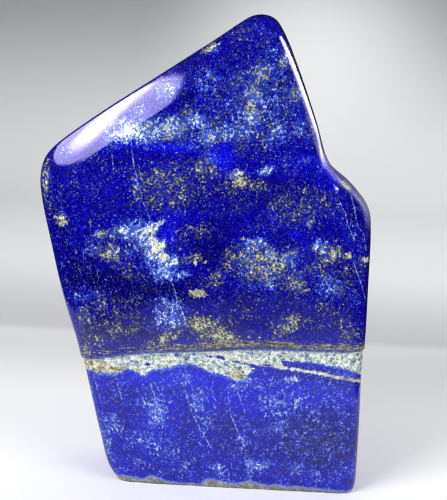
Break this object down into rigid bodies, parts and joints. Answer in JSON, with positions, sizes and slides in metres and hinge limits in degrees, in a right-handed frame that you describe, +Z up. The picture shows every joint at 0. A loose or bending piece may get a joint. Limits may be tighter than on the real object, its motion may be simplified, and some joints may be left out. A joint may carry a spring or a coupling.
{
  "type": "polished lapis lazuli freeform",
  "caption": "Polished lapis lazuli freeform: a thick domed slab with a slanting top, rounded edges and a pale calcite band, standing on its own flat sawn base as a display stone.",
  "frame": {"origin": "middle of the stone's outline, on the flat base it stands on", "axes": "+Z up along the height, -Y out of the broad front face, +X to the right seen from the front"},
  "size_m": [0.1694, 0.0638, 0.2403],
  "materials": {
    "lapis": "polished natural stone: deep ultramarine with white calcite veins, a pale band and fine brassy pyrite flecks; sawn and matt under the base"
  },
  "bodies": {
    "root": {"stone": "lapis"}
  },
  "joints": []
}
